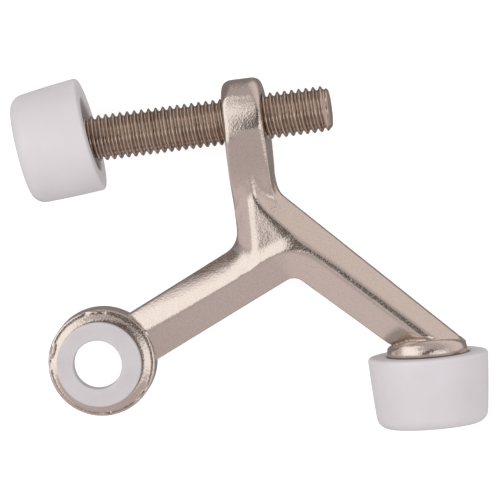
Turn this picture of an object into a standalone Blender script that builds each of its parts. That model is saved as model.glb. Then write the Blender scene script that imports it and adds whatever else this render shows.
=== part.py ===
"""Hinge-pin door stop: a die-cast Y-shaped bracket that slips over a door hinge's pin.

Frame: +Z along the hinge pin (the pin stands upright in use), X along the threaded
rod with the door bumper towards -X, and the casing bumper pressing towards -Y.
The origin is the centre of the casing bumper's flat contact face.
Dimensions are in millimetres and the model is built in metres. "Plan" is the XY plane.
"""
import math

import bmesh
import bpy
from mathutils import Matrix, Vector

MM = 0.001

# ---------------------------------------------------------------- dimensions (mm)
GAP = 0.3                                   # clearance between mating pieces

# Tapped boss, rounded about the rod axis (the line Y = ROD_Y)
ROD_Y = 56.85
BOSS_LEFT, BOSS_RIGHT = -28.20, -21.25      # its end faces along X
BOSS_R = 7.0
BOSS_HALF_DEPTH = 6.6                       # along Z
BOSS_CHAMFER, BOSS_CHAMFER_MID = 1.0, 0.3   # two-facet chamfer: its ends, its middle point

# Eye around the hinge pin; the bore sits a little off the rim's centre
EYE_CENTRE = (-55.15, 18.46)
PIN_CENTRE = (-55.70, 18.38)
EYE_R = 9.24
EYE_RIM_Z = 3.0                             # half height of the outer rim
EYE_FACE_R = 7.5
EYE_TOP_Z, EYE_BOTTOM_Z = 3.7, -3.4
EYE_CHAMFER_R, EYE_CHAMFER_Z = 0.15, 0.2
EYE_BORE_R = 5.95
BORE_CUT_Z = 8.0                            # half length of the boring cutter

# Arms: each plan edge is given by two (x, y) points on its line
EYE_ARM_UPPER = ((-49.59, 26.02), (-30.53, 34.67))
EYE_ARM_LOWER = ((-45.69, 17.53), (-22.85, 27.66))
FOOT_ARM_OUTER = ((-21.26, 43.93), (7.27, 14.05))
FOOT_ARM_INNER = ((-11.60, 20.70), (-5.54, 14.88))
BOSS_ARM_LEFT, BOSS_ARM_RIGHT = -29.00, -21.55  # X of the boss arm's edges at its root
EYE_ARM_UPPER_END, EYE_ARM_LOWER_END = -52.0, -49.0  # X where its edges stop in the eye
FOOT_LEFT, FOOT_RIGHT, FOOT_Y = -5.2, 6.6, 14.5      # the web's end at the foot
OUTER_FILLET, CROTCH_FILLET = 4.5, 2.4
FILLET_SEGMENTS = 6
APEX = (-18.54, 34.40)                      # where the three ridges meet
RIDGE_EYE, RIDGE_APEX, RIDGE_FOOT = 3.0, 5.4, 5.0    # ridge heights above the parting plane
PARTING = 0.8                               # half height of the upright band round the edge
SLOPE_Z = PARTING * 0.9                     # sloped faces start just inside the band,
INSET = 0.06                                # and just inside the web's outline

# Foot: a round flange with a mushroom spigot, tipped a little from square to the rod
FOOT_TIP = math.radians(3.6)
FLANGE_R, FLANGE_T = 7.0, 2.6
SEAT_DEPTH = 0.3                            # the flange sits this far below the bumper's rim
SPIGOT_R, SPIGOT_HEAD_R = 3.6, 5.0

# Rubber bumpers
BUMPER_CHAMFER = 0.5                        # on the outer edge of the open rim
ROUND_ANGLES = (84, 60, 40, 20, 0)          # degrees from the axis, wall to contact face
CASING_RIM_R, CASING_FACE_R, CASING_H, CASING_ROUND = 10.43, 9.46, 12.4, 2.1
DOOR_RIM_R, DOOR_FACE_R, DOOR_L, DOOR_ROUND = 9.97, 9.39, 12.5, 2.4
DOOR_RIM_CENTRE = (-51.65, 57.81)           # centre of the door bumper's open rim
DOOR_TIP = math.radians(7.2)                # the soft bumper sits a little crooked on the rod
DOOR_POCKET_R, DOOR_POCKET_END = 7.3, -9.8  # pocket round the rod's head
DOOR_MOUTH_R = 6.4

# Rod: M8 x 1.25, right hand
PITCH = 1.25
THREAD_R, THREAD_DEPTH = 4.0, 0.66
CREST, ROOT = 0.16, 0.20                    # widths of the thread's flats
FLANK_SPREAD = 0.577                        # crest widening per unit of radial growth
TURN_STEPS = 16
TAP_CLEARANCE = 0.2                         # radial clearance of the tapped hole
TAP_OVERRUN = 2.0                           # tap length past each face of the boss
ROD_END = -10.0                             # free end, past the boss
ROD_NECK = -55.4                            # threads start here, inside the bumper
ROD_TIP_R, TIP_CHAMFER_L = 3.35, 1.25
TRIM_R = 4.6                                # clear of the thread
TRIM_OVERRUN = 1.0
NECK_R, NECK_OVERLAP = 3.2, 0.5
HEAD_R, HEAD_T, HEAD_CHAMFER = 6.0, 2.0, 0.4
HEAD_X = -59.2                              # mid-plane of the head

# Nylon bushing
BUSH_BORE_R, BUSH_BARREL_R, BUSH_FLANGE_R = 4.33, 5.65, 7.34
BUSH_TOP, BUSH_BOTTOM = 4.9, -3.8
BUSH_CHAMFER = 0.35


# ---------------------------------------------------------------- scene and materials
for old in list(bpy.data.objects):
    bpy.data.objects.remove(old, do_unlink=True)


def collection(name):
    group = bpy.data.collections.new(name)
    bpy.context.scene.collection.children.link(group)
    return group


PARTS = collection("hinge_pin_door_stop")
CUTTERS = collection("cutters")
CUTTERS.hide_render = True


def material(name, colour, roughness, metallic):
    mat = bpy.data.materials.new(name)
    mat.use_nodes = True
    shader = mat.node_tree.nodes["Principled BSDF"]
    shader.inputs["Base Color"].default_value = (*colour, 1.0)
    shader.inputs["Roughness"].default_value = roughness
    shader.inputs["Metallic"].default_value = metallic
    return mat


def white_rubber(name):
    return material(name, colour=(0.72, 0.70, 0.71), roughness=0.55, metallic=0.0)


NICKEL = material(
    "satin_nickel_casting", colour=(0.52, 0.45, 0.40), roughness=0.34, metallic=1.0
)
STEEL = material(
    "bronze_tinted_steel", colour=(0.30, 0.23, 0.17), roughness=0.30, metallic=1.0
)
RUBBER_DOOR = white_rubber("white_rubber_door")
RUBBER_CASING = white_rubber("white_rubber_casing")
NYLON = material("white_nylon", colour=(0.66, 0.62, 0.64), roughness=0.42, metallic=0.0)


# ---------------------------------------------------------------- object helpers
def add_part(name, mesh, mat):
    part = bpy.data.objects.new(name, mesh)
    PARTS.objects.link(part)
    mesh.materials.append(mat)
    return part


def add_cutter(name, mesh):
    """A helper solid, never rendered, that booleans add or subtract."""
    cutter = bpy.data.objects.new(name, mesh)
    CUTTERS.objects.link(cutter)
    cutter.hide_render = True
    cutter.display_type = "WIRE"
    return cutter


def smooth(part):
    part.data.shade_smooth()
    part.data.set_sharp_from_angle(angle=math.radians(30.0))


def boolean(target, cutter, operation):
    mod = target.modifiers.new(operation.lower() + "_" + cutter.name, "BOOLEAN")
    mod.operation = operation
    mod.object = cutter
    mod.solver = "EXACT"


def evaluated(obj):
    """The object's shape with its modifiers applied, as a new mesh."""
    bpy.context.view_layer.update()
    depsgraph = bpy.context.evaluated_depsgraph_get()
    return bpy.data.meshes.new_from_object(obj.evaluated_get(depsgraph))


def temporary(name, data):
    obj = bpy.data.objects.new(name, data)
    bpy.context.scene.collection.objects.link(obj)
    return obj


def bake(obj):
    """Evaluate a temporary object and remove it."""
    mesh = evaluated(obj)
    bpy.data.objects.remove(obj, do_unlink=True)
    return mesh


def write(bm, mesh):
    bm.to_mesh(mesh)
    bm.free()
    return mesh


# ---------------------------------------------------------------- frames
def axis_frame(origin, direction):
    """Local +Z along a plan direction, local +Y along world +Z."""
    z = Vector((*direction, 0.0)).normalized()
    y = Vector((0.0, 0.0, 1.0))
    x = y.cross(z)
    frame = Matrix((x, y, z)).transposed().to_4x4()
    frame.translation = Vector((origin[0] * MM, origin[1] * MM, 0.0))
    return frame


def upright(centre):
    """World axes, moved to a plan point."""
    return Matrix.Translation(Vector((centre[0] * MM, centre[1] * MM, 0.0)))


ROD_FRAME = axis_frame((0.0, ROD_Y), (1.0, 0.0))    # local Z equals world X
# Local +Z runs from the casing bumper's contact face back into the bracket.
FOOT_FRAME = axis_frame((0.0, 0.0), (math.sin(FOOT_TIP), math.cos(FOOT_TIP)))
# Local +Z runs from the door bumper's contact face to its open rim, at the origin.
DOOR_FRAME = axis_frame(DOOR_RIM_CENTRE, (math.cos(DOOR_TIP), math.sin(DOOR_TIP)))


# ---------------------------------------------------------------- solids
def profile_mesh(name, points, edges):
    """Points (radius, height) in mm in the local XZ plane, joined by index pairs."""
    bm = bmesh.new()
    verts = [bm.verts.new((r * MM, 0.0, h * MM)) for r, h in points]
    for start, end in edges:
        bm.edges.new((verts[start], verts[end]))
    return write(bm, bpy.data.meshes.new(name))


def turned(name, profile, steps, frame, mat=None):
    """A solid of revolution about local Z: a part if it has a material, else a cutter.

    The profile's (radius, height) points run from axis to axis, or, when the first
    is off the axis, round a closed ring.
    """
    last = len(profile) - 1
    edges = [(i, i + 1) for i in range(last)]
    if profile[0][0] > 0.0:
        edges.append((last, 0))
    mesh = profile_mesh(name, profile, edges)
    solid = add_part(name, mesh, mat) if mat else add_cutter(name, mesh)
    screw = solid.modifiers.new("turn", "SCREW")
    screw.axis = "Z"
    screw.angle = math.tau
    screw.steps = screw.render_steps = steps
    screw.use_merge_vertices = True
    screw.merge_threshold = 1e-6
    screw.use_smooth_shade = True
    solid.matrix_world = frame
    return solid


def mirrored_hull(name, points):
    """The convex solid around (x, y, z) points and their mirror images in Z = 0."""
    bm = bmesh.new()
    for x, y, z in points:
        bm.verts.new(Vector((x, y, z)) * MM)
        bm.verts.new(Vector((x, y, -z)) * MM)
    bmesh.ops.convex_hull(bm, input=bm.verts)
    loose = [v for v in bm.verts if not v.link_faces]
    bmesh.ops.delete(bm, geom=loose, context="VERTS")
    bmesh.ops.recalc_face_normals(bm, faces=bm.faces)
    return add_cutter(name, write(bm, bpy.data.meshes.new(name)))


def slab(name, outline, half_thickness):
    """A plan outline with an even thickness about Z = 0."""
    curve = bpy.data.curves.new(name, "CURVE")
    curve.dimensions = "2D"
    curve.fill_mode = "BOTH"
    curve.extrude = half_thickness * MM
    spline = curve.splines.new("POLY")
    spline.points.add(len(outline) - 1)
    for point, (x, y) in zip(spline.points, outline):
        point.co = (x * MM, y * MM, 0.0, 1.0)
    spline.use_cyclic_u = True
    mesh = bake(temporary(name + "_curve", curve))
    bm = bmesh.new()
    bm.from_mesh(mesh)
    # The curve's caps and sides come apart; weld them into one solid.
    bmesh.ops.remove_doubles(bm, verts=bm.verts, dist=1e-6)
    bmesh.ops.recalc_face_normals(bm, faces=bm.faces)
    return add_cutter(name, write(bm, mesh))


def thread_mesh(name, x_from, x_to, grow):
    """A solid right-hand thread along local Z between two planes (mm).

    Its helix is fixed to the plane 0, so the rod and its tapped hole are in step.
    `grow` enlarges its radii and widens its crest.
    """
    crest_r, root_r = THREAD_R + grow, THREAD_R - THREAD_DEPTH + grow
    flank = (PITCH - CREST - ROOT) / 2
    spread = grow * FLANK_SPREAD * 0.5
    start = (math.floor(x_from / PITCH) - 2) * PITCH
    crest_start = -CREST / 2 - spread
    points = [
        (crest_r, start + crest_start),
        (crest_r, start + (CREST / 2 + spread)),
        (root_r, start + (CREST / 2 + flank + spread)),
        (root_r, start + (PITCH - CREST / 2 - flank - spread)),
        (crest_r, start + PITCH + crest_start),
    ]
    edges = [(i + 1, i) for i in range(len(points) - 1)]
    ridge = temporary(name + "_tmp", profile_mesh(name, points, edges))
    helix = ridge.modifiers.new("helix", "SCREW")
    helix.axis = "Z"
    helix.angle = math.tau
    helix.screw_offset = PITCH * MM
    helix.iterations = math.ceil((x_to - x_from) / PITCH) + 4
    helix.steps = helix.render_steps = TURN_STEPS
    helix.use_merge_vertices = False
    helix.use_smooth_shade = False
    mesh = bake(ridge)

    # Weld the turns together, then cut the surface off at both planes and cap it.
    bm = bmesh.new()
    bm.from_mesh(mesh)
    bmesh.ops.remove_doubles(bm, verts=bm.verts, dist=1e-5)
    for height, normal in ((x_from, -1), (x_to, 1)):
        cut = bmesh.ops.bisect_plane(
            bm,
            geom=bm.verts[:] + bm.edges[:] + bm.faces[:],
            plane_co=(0, 0, height * MM),
            plane_no=(0, 0, normal),
            clear_outer=True,
            dist=1e-7,
        )
        rim = [e for e in cut["geom_cut"] if isinstance(e, bmesh.types.BMEdge) and e.is_boundary]
        bmesh.ops.edgenet_fill(bm, edges=rim)
    bmesh.ops.recalc_face_normals(bm, faces=bm.faces)
    write(bm, mesh)
    mesh.name = name
    return mesh


# ---------------------------------------------------------------- plan geometry
def on_line(line, x):
    """The point of a plan line at this X."""
    p, q = line
    t = (x - p[0]) / (q[0] - p[0])
    return (x, p[1] + t * (q[1] - p[1]))


def crossing(first, second):
    """Where two plan lines meet."""
    a, b = (Vector(point) for point in first)
    c, d = (Vector(point) for point in second)
    u, v = b - a, d - c
    t = ((c.x - a.x) * v.y - (c.y - a.y) * v.x) / (u.x * v.y - u.y * v.x)
    return tuple(a + u * t)


def slope_start(edge, x, side):
    """Where a sloped face starts at a plan edge, inset towards +Y (side 1) or -Y (-1)."""
    y = on_line(edge, x)[1]
    return (x, y + side * INSET, SLOPE_Z)


def filleted(corners):
    """A closed outline from (x, y, radius) corners, each rounded by its radius."""
    outline = []
    for i, (x, y, radius) in enumerate(corners):
        if radius <= 0:
            outline.append((x, y))
            continue
        corner = Vector((x, y))
        before = (Vector(corners[i - 1][:2]) - corner).normalized()
        after = (Vector(corners[(i + 1) % len(corners)][:2]) - corner).normalized()
        half = before.angle(after) / 2
        tangent = radius / math.tan(half)
        centre = corner + (before + after).normalized() * (radius / math.sin(half))
        start = corner + before * tangent - centre
        end = corner + after * tangent - centre
        sweep = start.angle_signed(end)
        for k in range(FILLET_SEGMENTS + 1):
            turn = -sweep * (k / FILLET_SEGMENTS)
            c, s = math.cos(turn), math.sin(turn)
            outline.append(
                (centre.x + start.x * c - start.y * s, centre.y + start.x * s + start.y * c)
            )
    return outline


# ================================================================ cast bracket
# The corners of each convex block, (x, y, z) in mm, mirrored below the parting plane.
BLOCKS = {
    "arm_to_eye": [
        slope_start(EYE_ARM_UPPER, EYE_ARM_UPPER_END, -1),
        slope_start(EYE_ARM_LOWER, EYE_ARM_LOWER_END, 1),
        (-47.4, 22.6, RIDGE_EYE),
        slope_start(EYE_ARM_UPPER, -26.5, -1),
        slope_start(EYE_ARM_LOWER, -19.5, 1),
        (*APEX, RIDGE_APEX),
    ],
    "arm_to_foot": [
        slope_start(FOOT_ARM_OUTER, -20.5, -1),
        slope_start(FOOT_ARM_INNER, -21.5, 1),
        (*APEX, RIDGE_APEX),
        (-24.1, 42.6, 4.9),
        (6.0, 14.6, PARTING),
        (-5.0, 13.9, PARTING),
        (1.6, 14.9, RIDGE_FOOT),
    ],
    "arm_to_boss": [
        (-28.62, 46.6, 4.2), (-27.9, 46.6, 4.9), (-22.7, 46.6, 4.9), (-21.85, 46.6, 4.0),
        (-28.85, 39.0, 3.6), (-28.9, 37.6, 1.2),
        (-21.4, 43.6, 1.0), (-18.0, 39.8, 2.2),
        (-25.6, 31.6, 4.9),
        (*APEX, RIDGE_APEX),
    ],
    "boss_neck": [
        (BOSS_LEFT, 56.0, BOSS_HALF_DEPTH - 0.8),
        (-27.4, 56.0, BOSS_HALF_DEPTH),
        (-22.0, 56.0, BOSS_HALF_DEPTH),
        (BOSS_RIGHT, 56.0, BOSS_HALF_DEPTH - 0.8),
        (-28.75, 46.0, 4.3), (-28.0, 46.0, 5.0), (-22.6, 46.0, 5.0), (-21.7, 46.0, 4.1),
    ],
}


def make_web():
    """The flat Y at the parting plane that the blocks are built on."""
    corners = [
        (*on_line(EYE_ARM_UPPER, EYE_ARM_UPPER_END), 0),
        (*on_line(EYE_ARM_UPPER, BOSS_ARM_LEFT), OUTER_FILLET),
        (BOSS_LEFT, ROD_Y, 0),
        (BOSS_RIGHT, ROD_Y, 0),
        (*on_line(FOOT_ARM_OUTER, BOSS_ARM_RIGHT), OUTER_FILLET),
        (FOOT_RIGHT, FOOT_Y, 0),
        (FOOT_LEFT, FOOT_Y, 0),
        (*crossing(EYE_ARM_LOWER, FOOT_ARM_INNER), CROTCH_FILLET),
        (*on_line(EYE_ARM_LOWER, EYE_ARM_LOWER_END), 0),
    ]
    return slab("web", filleted(corners), PARTING)


def make_boss():
    """A cylinder along the rod, flattened a little in Z."""
    profile = [
        (0.0, BOSS_RIGHT),
        (BOSS_R - BOSS_CHAMFER, BOSS_RIGHT),
        (BOSS_R - BOSS_CHAMFER_MID, BOSS_RIGHT - BOSS_CHAMFER_MID),
        (BOSS_R, BOSS_RIGHT - BOSS_CHAMFER),
        (BOSS_R, BOSS_LEFT + BOSS_CHAMFER),
        (BOSS_R - BOSS_CHAMFER_MID, BOSS_LEFT + BOSS_CHAMFER_MID),
        (BOSS_R - BOSS_CHAMFER, BOSS_LEFT),
        (0.0, BOSS_LEFT),
    ]
    flatten = Matrix.Diagonal((1.0, BOSS_HALF_DEPTH / BOSS_R, 1.0, 1.0))
    return turned("boss", profile, 36, ROD_FRAME @ flatten)


def make_eye():
    profile = [
        (0.0, EYE_TOP_Z),
        (EYE_FACE_R, EYE_TOP_Z),
        (EYE_R - EYE_CHAMFER_R, EYE_RIM_Z),
        (EYE_R, EYE_RIM_Z - EYE_CHAMFER_Z),
        (EYE_R, -EYE_RIM_Z + EYE_CHAMFER_Z),
        (EYE_R - EYE_CHAMFER_R, -EYE_RIM_Z),
        (EYE_FACE_R, EYE_BOTTOM_Z),
        (0.0, EYE_BOTTOM_Z),
    ]
    return turned("eye", profile, 56, upright(EYE_CENTRE))


def make_flange():
    """The foot's domed flange and mushroom spigot; heights are from the contact face."""
    seat = CASING_H - SEAT_DEPTH
    profile = [
        (0.0, seat + 4.0),
        (4.6, seat + 3.6),
        (6.4, seat + FLANGE_T),
        (FLANGE_R, seat + FLANGE_T - 0.9),
        (FLANGE_R, seat + 0.4),
        (FLANGE_R - 0.4, seat),
        (SPIGOT_R, seat),
        (SPIGOT_R, 8.0),
        (SPIGOT_HEAD_R, 7.4),
        (SPIGOT_HEAD_R, 6.3),
        (3.2, 4.6),
        (0.0, 4.6),
    ]
    return turned("flange", profile, 40, FOOT_FRAME)


def make_pin_bore():
    profile = [
        (0.0, BORE_CUT_Z),
        (EYE_BORE_R, BORE_CUT_Z),
        (EYE_BORE_R, -BORE_CUT_Z),
        (0.0, -BORE_CUT_Z),
    ]
    return turned("pin_bore", profile, 40, upright(PIN_CENTRE))


def make_tap():
    mesh = thread_mesh("tap", BOSS_LEFT - TAP_OVERRUN, BOSS_RIGHT + TAP_OVERRUN, TAP_CLEARANCE)
    tap = add_cutter("tap", mesh)
    tap.matrix_world = ROD_FRAME
    return tap


def make_bracket():
    bracket = add_part("cast_bracket", evaluated(make_web()), NICKEL)
    for name, points in BLOCKS.items():
        boolean(bracket, mirrored_hull(name, points), "UNION")
    for piece in (make_boss(), make_eye(), make_flange()):
        boolean(bracket, piece, "UNION")
    for hole in (make_pin_bore(), make_tap()):
        boolean(bracket, hole, "DIFFERENCE")
    smooth(bracket)


# ================================================================ nylon bushing
def make_bushing():
    """A flanged sleeve in the eye, its flange just above the eye's top face."""
    profile = [
        (BUSH_BORE_R + BUSH_CHAMFER, BUSH_TOP),
        (BUSH_FLANGE_R - BUSH_CHAMFER, BUSH_TOP),
        (BUSH_FLANGE_R, BUSH_TOP - BUSH_CHAMFER),
        (BUSH_FLANGE_R, EYE_TOP_Z + GAP),
        (BUSH_BARREL_R, EYE_TOP_Z + GAP),
        (BUSH_BARREL_R, BUSH_BOTTOM),
        (BUSH_BORE_R, BUSH_BOTTOM),
        (BUSH_BORE_R, BUSH_TOP - BUSH_CHAMFER),
    ]
    turned("pin_bushing", profile, 48, upright(PIN_CENTRE), NYLON)


# ================================================================ threaded rod
def make_end_trim():
    """The envelope that chamfers the thread's free end."""
    profile = [
        (0.0, ROD_END + TRIM_OVERRUN),
        (ROD_TIP_R, ROD_END + TRIM_OVERRUN),
        (ROD_TIP_R, ROD_END + 0.001),       # kept just off the rod's end plane
        (TRIM_R, ROD_END - TIP_CHAMFER_L),
        (TRIM_R, ROD_NECK - TRIM_OVERRUN),
        (0.0, ROD_NECK - TRIM_OVERRUN),
    ]
    return turned("end_trim", profile, 32, ROD_FRAME)


def make_rod_head():
    """The neck and the round head inside the door bumper."""
    inner, outer = HEAD_X + HEAD_T / 2, HEAD_X - HEAD_T / 2
    profile = [
        (0.0, ROD_NECK + NECK_OVERLAP),
        (NECK_R, ROD_NECK + NECK_OVERLAP),
        (NECK_R, inner),
        (HEAD_R - HEAD_CHAMFER, inner),
        (HEAD_R, inner - HEAD_CHAMFER),
        (HEAD_R, outer + HEAD_CHAMFER),
        (HEAD_R - HEAD_CHAMFER, outer),
        (0.0, outer),
    ]
    return turned("rod_head", profile, 32, ROD_FRAME)


def make_rod():
    rod = add_part("threaded_rod", thread_mesh("threaded_rod", ROD_NECK, ROD_END, 0.0), STEEL)
    rod.matrix_world = ROD_FRAME
    boolean(rod, make_end_trim(), "INTERSECT")
    boolean(rod, make_rod_head(), "UNION")
    smooth(rod)


# ================================================================ rubber bumpers
def rounded_edge(face_r, face_height, radius):
    """Profile points round a bumper's edge, from its wall to its contact face."""
    return [
        (
            face_r - radius + radius * math.sin(angle),
            face_height + radius - radius * math.cos(angle),
        )
        for angle in map(math.radians, ROUND_ANGLES)
    ]


def make_door_bumper():
    """Heights are from the open rim; the pocket narrows to a lip behind the rod's head."""
    profile = [
        (DOOR_MOUTH_R, 0.0),
        (DOOR_RIM_R - BUMPER_CHAMFER, 0.0),
        (DOOR_RIM_R, -BUMPER_CHAMFER),
        *rounded_edge(DOOR_FACE_R, -DOOR_L, DOOR_ROUND),
        (0.0, -DOOR_L),
        (0.0, DOOR_POCKET_END),
        (DOOR_POCKET_R, DOOR_POCKET_END),
        (DOOR_POCKET_R, -5.5),
        (5.4, -5.1),
        (5.4, -3.4),
        (DOOR_MOUTH_R, -2.6),
    ]
    turned("door_bumper", profile, 48, DOOR_FRAME, RUBBER_DOOR)


def make_casing_bumper():
    """Heights are from the contact face; the pocket clears the flange and spigot by GAP."""
    floor = CASING_H - SEAT_DEPTH - GAP
    profile = [
        (SPIGOT_R + GAP, floor),
        (FLANGE_R + GAP, floor),
        (FLANGE_R + GAP, CASING_H),
        (CASING_RIM_R - BUMPER_CHAMFER, CASING_H),
        (CASING_RIM_R, CASING_H - BUMPER_CHAMFER),
        *rounded_edge(CASING_FACE_R, 0.0, CASING_ROUND),
        (0.0, 0.0),
        (0.0, 4.2),
        (3.4, 4.2),
        (SPIGOT_HEAD_R + GAP, 6.1),
        (SPIGOT_HEAD_R + GAP, 7.6),
        (SPIGOT_R + GAP, 8.4),
    ]
    turned("casing_bumper", profile, 48, FOOT_FRAME, RUBBER_CASING)


make_bracket()
make_bushing()
make_rod()
make_door_bumper()
make_casing_bumper()
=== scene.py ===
"""Hinge-pin door stop: a cast bracket, a threaded rod, a nylon bushing and two rubber caps.

The plan lies in x-y and z is depth, with the parting line of the casting at z = 0. Three arms
leave the middle: one to the eye at -x, one up (+y) to the boss that holds the rod, and one down
to the foot, whose cap has the centre of its face at the origin. The rod runs along x and carries
the door cap at its -x end. Lengths are in millimetres, and become metres when a mesh is made;
those in materials, lights and camera distances are in metres.
"""
import math

import bmesh
import bpy
import numpy as np
from mathutils import Matrix, Vector


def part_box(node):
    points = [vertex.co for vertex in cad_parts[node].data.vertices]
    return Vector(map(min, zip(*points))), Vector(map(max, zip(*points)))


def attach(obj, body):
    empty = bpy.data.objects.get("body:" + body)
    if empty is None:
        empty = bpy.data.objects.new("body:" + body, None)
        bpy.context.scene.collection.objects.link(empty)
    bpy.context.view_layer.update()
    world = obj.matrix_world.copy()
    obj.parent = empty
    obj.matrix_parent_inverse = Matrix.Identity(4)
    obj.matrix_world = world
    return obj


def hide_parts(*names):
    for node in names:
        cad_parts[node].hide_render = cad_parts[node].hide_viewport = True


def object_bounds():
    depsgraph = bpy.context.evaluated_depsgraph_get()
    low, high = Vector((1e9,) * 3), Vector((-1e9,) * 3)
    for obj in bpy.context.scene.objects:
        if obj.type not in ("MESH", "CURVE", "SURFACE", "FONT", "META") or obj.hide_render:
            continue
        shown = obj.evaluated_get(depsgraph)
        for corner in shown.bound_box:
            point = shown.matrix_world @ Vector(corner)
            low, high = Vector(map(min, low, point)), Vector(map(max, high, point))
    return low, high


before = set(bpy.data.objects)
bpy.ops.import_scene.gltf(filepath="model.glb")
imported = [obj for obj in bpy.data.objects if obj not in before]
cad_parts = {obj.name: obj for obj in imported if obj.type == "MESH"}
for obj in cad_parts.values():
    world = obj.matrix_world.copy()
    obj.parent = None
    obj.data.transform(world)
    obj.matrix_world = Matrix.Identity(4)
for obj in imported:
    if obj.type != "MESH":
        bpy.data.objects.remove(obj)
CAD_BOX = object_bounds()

MM = 0.001

# ------------------------------------------------------------------ places taken from the frame
rod_low, rod_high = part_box("threaded_rod")
ROD_Y = (rod_low.y + rod_high.y) / 2 / MM
ROD_END = rod_high.x / MM
ROD_HEAD_BACK = rod_low.x / MM
bush_low, bush_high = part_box("pin_bushing")
PIN = ((bush_low.x + bush_high.x) / 2 / MM, (bush_low.y + bush_high.y) / 2 / MM)


# ------------------------------------------------------------------ numbers
def clip01(value):
    return np.clip(value, 0.0, 1.0)


def step(start, end, value):
    """Smooth rise from 0 at start to 1 at end."""
    t = clip01((value - start) / (end - start))
    return t * t * (3 - 2 * t)


def lerp(start, end, share):
    return start + (end - start) * share


def soft_min(first, second, blend):
    h = clip01(0.5 + 0.5 * (second - first) / blend)
    return second + (first - second) * h - blend * h * (1 - h)


def soft_max(first, second, blend):
    return -soft_min(-first, -second, blend)


def side_of(start, end, x, y):
    """Distance to the line from start to end, positive on its right-hand side."""
    run_x, run_y = end[0] - start[0], end[1] - start[1]
    return ((x - start[0]) * run_y - (y - start[1]) * run_x) / math.hypot(run_x, run_y)


def unit(start, end):
    run = np.array(end, float) - np.array(start, float)
    return run / np.linalg.norm(run)


def meet(line_a, line_b):
    """Where two lines cross."""
    start_a, end_a = (np.array(point, float) for point in line_a)
    start_b, end_b = (np.array(point, float) for point in line_b)
    run_a, run_b = end_a - start_a, end_b - start_b
    gap = start_b - start_a
    share = (gap[0] * run_b[1] - gap[1] * run_b[0]) / (run_a[0] * run_b[1] - run_a[1] * run_b[0])
    return start_a + run_a * share


def normal_away(direction, other):
    """The normal of direction that points away from other."""
    normal = np.array([-direction[1], direction[0]])
    return -normal if normal @ other > 0 else normal


class Notch:
    """The air in a corner between two plan lines, its corner rounded. Calling it gives the
    inward distance from that edge: positive in metal."""

    def __init__(self, corner, along_a, along_b, radius):
        half = math.acos(float(np.clip(along_a @ along_b, -1, 1))) / 2
        middle = (along_a + along_b) / np.linalg.norm(along_a + along_b)
        self.centre = corner + middle * radius / math.sin(half)
        self.along_a, self.along_b, self.radius = along_a, along_b, radius
        self.normal_a = normal_away(along_a, along_b)
        self.normal_b = normal_away(along_b, along_a)

    def measure(self, x, y, direction):
        return (x - self.centre[0]) * direction[0] + (y - self.centre[1]) * direction[1]

    def beyond(self, x, y):
        """How far past the rounded corner, along either edge."""
        return np.maximum(self.measure(x, y, self.along_a), self.measure(x, y, self.along_b))

    def __call__(self, x, y):
        across_a = self.measure(x, y, self.normal_a)
        across_b = self.measure(x, y, self.normal_b)
        away = np.hypot(x - self.centre[0], y - self.centre[1])
        from_a = np.where(self.measure(x, y, self.along_a) > 0, np.abs(across_a), away)
        from_b = np.where(self.measure(x, y, self.along_b) > 0, np.abs(across_b), away)
        distance = np.minimum(from_a, from_b)
        in_air = np.maximum(across_a, across_b) < 0
        return np.where(in_air, -distance, distance) - self.radius


# ------------------------------------------------------------------ casting: sizes
BOSS_L, BOSS_R = -28.20, -21.25               # x of the boss's two ends

# Plan edges of the arms, each a line through two (x, y) points
EYE_ARM_UPPER = ((-49.59, 26.02), (-30.53, 34.67))
EYE_ARM_LOWER = ((-45.69, 17.53), (-22.85, 27.66))
FOOT_ARM_OUTER = ((-21.26, 43.93), (7.27, 14.05))
FOOT_ARM_INNER = ((-11.60, 20.70), (-5.54, 14.88))
BOSS_ARM_LEFT = ((-29.00, 35.35), (BOSS_L, 56.85))
BOSS_ARM_RIGHT = ((-21.55, 44.20), (BOSS_R, 56.85))

EYE_ARM_START, FOOT_ARM_START = (-46.09, 23.10), (-18.71, 34.89)
ARM_RUN = 26.0                                # length over which an arm's section changes
EDGE = 0.8                                    # half height of the upright band at z = 0
NO_CUT = -9.0                                 # a distance that leaves the metal alone

EYE = (-55.15, 18.46)
EYE_RADIUS = 9.24
PIN_BORE, ROD_BORE, BORE_BEVEL = 5.85, 4.1, 0.45      # radii, and the bevel of the rod's bore

SWELL_RADIUS, SWELL_FACE, SWELL_AT = 14.5, 6.6, -1.2  # bulge of the boss: arc, half depth, place
BOSS_RADIUS = 7.0

FOOT_TIP = math.radians(3.6)
FOOT_UP = (math.sin(FOOT_TIP), math.cos(FOOT_TIP))
FOOT_SIDE = (math.cos(FOOT_TIP), -math.sin(FOOT_TIP))
SEAT = 12.1                                   # height of the flange's underside over the cap's face
FLANGE_RADIUS = 7.0

eye_dir, foot_dir = unit(*EYE_ARM_UPPER), unit(*FOOT_ARM_OUTER)
WEB_RADIUS = 4.5
notch_left = Notch(
    meet(EYE_ARM_UPPER, BOSS_ARM_LEFT), -eye_dir, unit(*BOSS_ARM_LEFT), WEB_RADIUS)
notch_right = Notch(
    meet(BOSS_ARM_RIGHT, FOOT_ARM_OUTER), unit(*BOSS_ARM_RIGHT), foot_dir, WEB_RADIUS)
notch_below = Notch(
    meet(EYE_ARM_LOWER, FOOT_ARM_INNER), -unit(*EYE_ARM_LOWER), unit(*FOOT_ARM_INNER), 2.4)

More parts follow.
